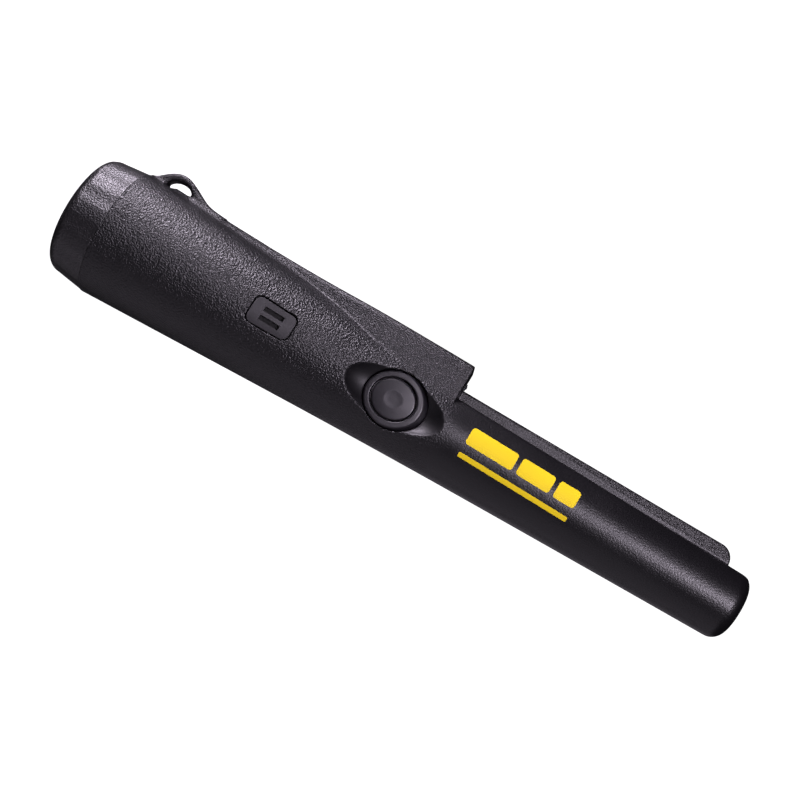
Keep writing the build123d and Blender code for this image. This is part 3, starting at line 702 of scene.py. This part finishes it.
# Each plastic has a colour, a roughness, and its grain's size and depth in millimetres.
PLASTICS = {
    "bezel_plastic": ((0.010, 0.0092, 0.0115), 0.36, 0.30, 0.008),
    "button_plastic": ((0.010, 0.0092, 0.0115), 0.38, 0.30, 0.010),
    "grille_plastic": ((0.012, 0.0115, 0.013), 0.46, 0.25, 0.012),
    "chassis_plastic": ((0.06, 0.06, 0.065), 0.5, 0.3, 0.02),
    "snap_plastic": ((0.03, 0.03, 0.03), 0.5, 0.3, 0.02),
    "switch_body": ((0.05, 0.05, 0.05), 0.5, 0.3, 0.01),
    "switch_plunger": ((0.5, 0.07, 0.05), 0.45, 0.3, 0.01),
    "chip_plastic": ((0.035, 0.035, 0.036), 0.6, 0.15, 0.01),
    "former_plastic": ((0.72, 0.70, 0.64), 0.45, 0.4, 0.02),
    "foam": ((0.08, 0.08, 0.08), 0.9, 0.4, 0.15),
    "seal_rubber": ((0.03, 0.03, 0.03), 0.6, 0.25, 0.02),
    "boot_rubber": ((0.12, 0.12, 0.12), 0.65, 0.3, 0.03),
    "cone_film": ((0.15, 0.11, 0.07), 0.3, 0.5, 0.01),
    "board": ((0.015, 0.13, 0.05), 0.35, 0.8, 0.01),
    "lead_red": ((0.5, 0.02, 0.02), 0.4, 0.4, 0.01),
    "lead_black": ((0.02, 0.02, 0.02), 0.4, 0.4, 0.01),
    "lead_blue": ((0.03, 0.08, 0.4), 0.4, 0.4, 0.01),
    "lead_yellow": ((0.6, 0.42, 0.04), 0.4, 0.4, 0.01),
}
# Each metal has a colour and a roughness.
METALS = {
    "battery_can": ((0.32, 0.32, 0.34), 0.4),
    "contact_metal": ((0.72, 0.70, 0.66), 0.3),
    "screw_steel": ((0.62, 0.62, 0.60), 0.35),
    "capacitor_can": ((0.75, 0.75, 0.76), 0.3),
    "crystal_can": ((0.75, 0.75, 0.76), 0.22),
    "speaker_steel": ((0.5, 0.5, 0.5), 0.4),
    "magnet": ((0.22, 0.22, 0.23), 0.5),
    "motor_steel": ((0.66, 0.66, 0.66), 0.28),
    "weight_metal": ((0.30, 0.30, 0.30), 0.45),
    "ferrite": ((0.07, 0.07, 0.075), 0.6),
    "winding": ((0.62, 0.24, 0.10), 0.32),
}


def make_materials():
    """Every material by its slot name."""
    made = {"casing_plastic": grained_plastic("casing_plastic")}
    made["cap_plastic"] = grained_plastic("cap_plastic", 0.9, 0.04)
    made["cloth"] = woven("cloth", (0.004, 0.004, 0.004))
    for name, (colour, roughness, grain, depth) in PLASTICS.items():
        made[name] = satin_plastic(name, colour, roughness, grain, depth)
    for name, (colour, roughness) in METALS.items():
        made[name] = metal(name, colour, roughness)
    made["printed_ink"] = satin_plastic("printed_ink", (0.72, 0.54, 0.008), 0.58, 0.5, 0.01, 0.06, 0.2)
    made["lens_clear"] = clear_plastic("lens_clear", (0.10, 0.11, 0.12))
    made["led_resin"] = clear_plastic("led_resin", (0.90, 0.92, 0.95))
    return made


materials = make_materials()
for part in frame["record"]["subparts"]:
    for place in frame["nodes"][part["node"]].material_slots:
        place.material = materials[part["material_slot"]]

# ---------------------------------------------------------------- pieces

across = grid_line(((-21.2, 26.3, STEP),))
sideways = grid_line(((-21.1, 21.1, STEP),))


def step_up(value, start, end):
    """Smooth rise from 0 to 1 as value goes from start to end."""
    t = np.clip((value - start) / (end - start), 0, 1)
    return t * t * (3 - 2 * t)


LEATHER_FADE_Z = (HOOD_FRONT_Z - 4.0, HOOD_FRONT_Z + 7.0)


def raised(h, b, z):
    """One where the surface stands clear of the bare wand: hood, loop and blade."""
    clear = step_up(tapered(h, b, z, 0.0), 0.05, 0.3) * step_up(h, LAND - 4.0, LAND - 2.0)
    past_hood = step_up(z, HOOD_FRONT_Z + 0.5, HOOD_FRONT_Z + 1.0)
    on_land = step_up(-h, -LAND - 0.6, -LAND - 0.2)
    return clear * (1 - past_hood * on_land)


def polish(h, b, z):
    """One in the smooth scoop around the button."""
    return (1 - step_up(scoop(h, b, z), 0.1, 0.35)) * step_up(b, 5.0, 6.0)


def leather(h, b, z):
    """One on the grained handle."""
    return (1 - step_up(z, *LEATHER_FADE_Z)) * (1 - raised(h, b, z)) * (1 - polish(h, b, z))


def build(name, node, field, lines, slot, body="casing", reach=0.15, amounts=None):
    """Field mesh that takes the place of a node of the CAD."""
    made = field_mesh(name, field, lines, reach, amounts)
    made.data.materials.append(materials[slot])
    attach(made, body)
    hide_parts(node)
    return made


GRAIN = {"leather": leather, "stipple": raised, "polish": polish}
casing_lines = (across, sideways, grid_line(Z_RUNS))
build("casing_shell", "casing", casing_field, casing_lines, "casing_plastic", amounts=GRAIN)

CAP_LEATHER = 0.75


def cap_leather(h, b, z):
    """The cap's even, fainter leather grain."""
    return np.full(len(z), CAP_LEATHER)


around_cap = grid_line(((-20.9, 20.9, FINE),))
cap_lines = (around_cap, around_cap, grid_line(((-0.3, 12.5, 0.4), (12.5, 13.1, SEAM_STEP))))
CAP_GRAIN = {"leather": cap_leather}
build("cap_shell", "battery_cap", cap_field, cap_lines, "cap_plastic", "battery_cap", amounts=CAP_GRAIN)

KEY_STEP = 0.3
KEY_BOX = ((-9.3, 9.3), (4.3, 12.7), (100.7, 122.9))
key_lines = [grid_line(((low, high, KEY_STEP),)) for low, high in KEY_BOX]
build("bezel_ring", "button_bezel", bezel_field, key_lines, "bezel_plastic", reach=0.08)
build("button_key", "power_button", button_field, key_lines, "button_plastic", "power_button", 0.08)

INK_PROUD = 0.04
INK_SUNK = 0.30
INK_ROWS = 9
INK_CORNER_STEPS = 7
INK_STEP = 1.0


def ink_outline(half, start, end, corner):
    """Stations along a round-cornered bar, and half the bar's height at each."""
    turn = np.linspace(0, math.pi / 2, INK_CORNER_STEPS)
    inset = corner * (1 - np.sin(turn))
    ends = start + corner * (1 - np.cos(turn))
    steps = max(2, round((end - start - 2 * corner) / INK_STEP))
    run = np.linspace(start + corner, end - corner, steps + 1)[1:-1]
    z = np.concatenate([ends, run, (end + start - ends)[::-1]])
    return z, half - np.concatenate([inset, np.zeros(len(run)), inset[::-1]])


def ink_faces(columns):
    """Quads of a bar's two skins, and of the rim between them."""
    rows, faces = INK_ROWS, []
    for layer in (0, 1):
        base = layer * columns * rows
        for i in range(columns - 1):
            for j in range(rows - 1):
                a = base + i * rows + j
                face = (a, a + 1, a + rows + 1, a + rows)
                faces.append(face if layer == 0 else face[::-1])
    rim = [i * rows for i in range(columns)]
    rim += [(columns - 1) * rows + j for j in range(1, rows)]
    rim += [i * rows + rows - 1 for i in range(columns - 2, -1, -1)]
    rim += [j for j in range(rows - 2, 0, -1)]
    for a, c in zip(rim, rim[1:] + rim[:1]):
        faces.append((a, c, c + columns * rows, a + columns * rows))
    return faces


def ink_bar(name, middle, half, start, end, corner):
    """Thin raised bar of printed ink that follows the casing; half is half its height across."""
    z, reach = ink_outline(half, start, end, corner)
    h = middle + reach[:, None] * np.linspace(-1, 1, INK_ROWS)[None, :]
    z = np.repeat(z[:, None], INK_ROWS, 1)
    out = np.sqrt(taper(z) ** 2 - h * h)
    points = [np.stack([-h, -(out + lift), z], 2).reshape(-1, 3) for lift in (INK_PROUD, -INK_SUNK)]
    mesh = bpy.data.meshes.new(name)
    mesh.from_pydata(np.concatenate(points) * MM, [], ink_faces(len(z)))
    made = bpy.data.objects.new(name, mesh)
    bpy.context.scene.collection.objects.link(made)
    mesh.materials.append(materials["printed_ink"])
    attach(made, "casing")


ink_bar("ink_bar_a", 2.6, 2.7, 135.5, 151.0, 0.9)
ink_bar("ink_bar_b", 2.6, 2.7, 152.5, 163.5, 0.9)
ink_bar("ink_bar_c", 2.6, 2.7, 165.0, 172.0, 0.9)
ink_bar("ink_bar_d", -3.7, 0.75, 135.5, 172.0, 0.5)

# ---------------------------------------------------------------- camera, light and floor

CAMERA_PLACE = Vector((0.02554, -0.44296, 0.13911))
CAMERA_TARGET = Vector((-0.001564, -0.000084, 0.112264))
CAMERA_ROLL = 0.5484
CAMERA_LENS = 66.94
SENSOR = 36.0


def place_camera():
    """Camera turned about its line of sight, with the hood towards the top of the picture."""
    camera = bpy.data.objects.new("camera", bpy.data.cameras.new("camera"))
    bpy.context.scene.collection.objects.link(camera)
    bpy.context.scene.camera = camera
    camera.data.lens = CAMERA_LENS
    camera.data.sensor_width = SENSOR
    camera.data.clip_start = 0.01
    camera.data.clip_end = 20
    forward = (CAMERA_TARGET - CAMERA_PLACE).normalized()
    right = (Vector((0, 0, 1)) - forward * forward.z).normalized()
    up = -forward.cross(right)
    turn, lift = math.cos(CAMERA_ROLL), math.sin(CAMERA_ROLL)
    turned = Matrix((right * turn + up * lift, up * turn - right * lift, -forward)).transposed().to_4x4()
    camera.matrix_world = Matrix.Translation(CAMERA_PLACE) @ turned


place_camera()
CENTRE = Vector((0, 0, LENGTH / 2 * MM))


def area_light(name, direction, distance, size, power):
    """Softbox aimed at the middle of the probe; size is (across, along the probe)."""
    light = bpy.data.lights.new(name, "AREA")
    light.shape = "RECTANGLE"
    light.size, light.size_y = size
    light.energy = power
    light.color = LIGHT_TINT
    made = bpy.data.objects.new(name, light)
    bpy.context.scene.collection.objects.link(made)
    back = direction.normalized()
    side = Vector((0, 0, 1)).cross(back).normalized()
    made.matrix_world = (Matrix.Translation(CENTRE + back * distance)
                         @ Matrix((side, back.cross(side), back)).transposed().to_4x4())


def around(angle, rise):
    """Direction away from the axis; angle is in degrees from the button side towards the hood."""
    a, e = math.radians(angle), math.radians(rise)
    return Vector((-math.sin(a) * math.cos(e), -math.cos(a) * math.cos(e), math.sin(e)))


LIGHT_TINT = (1.0, 0.90, 1.06)
SOFTBOX = (0.24, 0.28)
NEAR_SOFTBOX = (0.15, 0.17)
MIDDLE_SOFTBOX = (0.17, 0.20)

# Each light has an angle and a rise in degrees, a distance and a size in metres, and a power in watts.
SOFTBOXES = {
    "key": (78, -30, 0.6, NEAR_SOFTBOX, 3.8),
    "key_front": (46, -30, 0.7, MIDDLE_SOFTBOX, 2.0),
    "front": (5, 30, 1.0, SOFTBOX, 6.9),
    "front_middle": (11, 6, 1.0, SOFTBOX, 1.9),
    "belly": (-85, -5, 1.0, (1.6, 1.4), 3.0),
    "top": (120, -15, 1.0, SOFTBOX, 0.20),
    "back": (-150, 10, 1.0, (0.6, 0.6), 0.35),
}
for name, (angle, rise, distance, size, power) in SOFTBOXES.items():
    area_light(name, around(angle, rise), distance, size, power)

world = bpy.data.worlds.new("room")
world.use_nodes = True
world.node_tree.nodes["Background"].inputs["Color"].default_value = (1, 1, 1, 1)
world.node_tree.nodes["Background"].inputs["Strength"].default_value = 0.01
bpy.context.scene.world = world
bpy.context.scene.view_settings.view_transform = "Standard"


def stage_piece(name, mesh, glow):
    """White floor or backdrop, seen by the camera only: no light, shadow or mirror image comes from it."""
    made = bpy.data.objects.new(name, mesh)
    bpy.context.scene.collection.objects.link(made)
    f = Finish(name, (0.9, 0.9, 0.9), 0.9)
    f.shader.inputs["Emission Color"].default_value = (1, 1, 1, 1)
    f.shader.inputs["Emission Strength"].default_value = glow
    mesh.materials.append(f.material)
    made.visible_glossy = False
    made.visible_diffuse = False
    made.visible_shadow = False
    made.visible_transmission = False


def ring_mesh(name, profile, turns=96):
    """Turned sheet from a profile of (radius, height)."""
    points, faces = [], []
    for radius, height in profile:
        for i in range(turns):
            a = 2 * math.pi * i / turns
            points.append((radius * math.cos(a), radius * math.sin(a), height))
    for row in range(len(profile) - 1):
        for i in range(turns):
            j = (i + 1) % turns
            faces.append((row * turns + i, row * turns + j, (row + 1) * turns + j, (row + 1) * turns + i))
    mesh = bpy.data.meshes.new(name)
    mesh.from_pydata(points, [], faces)
    mesh.shade_smooth()
    return mesh


DOME_RADIUS = 4.0
DOME_STEP = 5
POLE = 0.0001
stage_piece("floor", ring_mesh("floor", [(POLE, 0.0), (0.3, 0.0), (DOME_RADIUS, 0.0)]), 1.05)
climb = [math.radians(degrees) for degrees in range(0, 90, DOME_STEP)]
dome = [(DOME_RADIUS * math.cos(a), DOME_RADIUS * math.sin(a)) for a in climb] + [(POLE, DOME_RADIUS)]
stage_piece("backdrop", ring_mesh("backdrop", dome), 1.1)
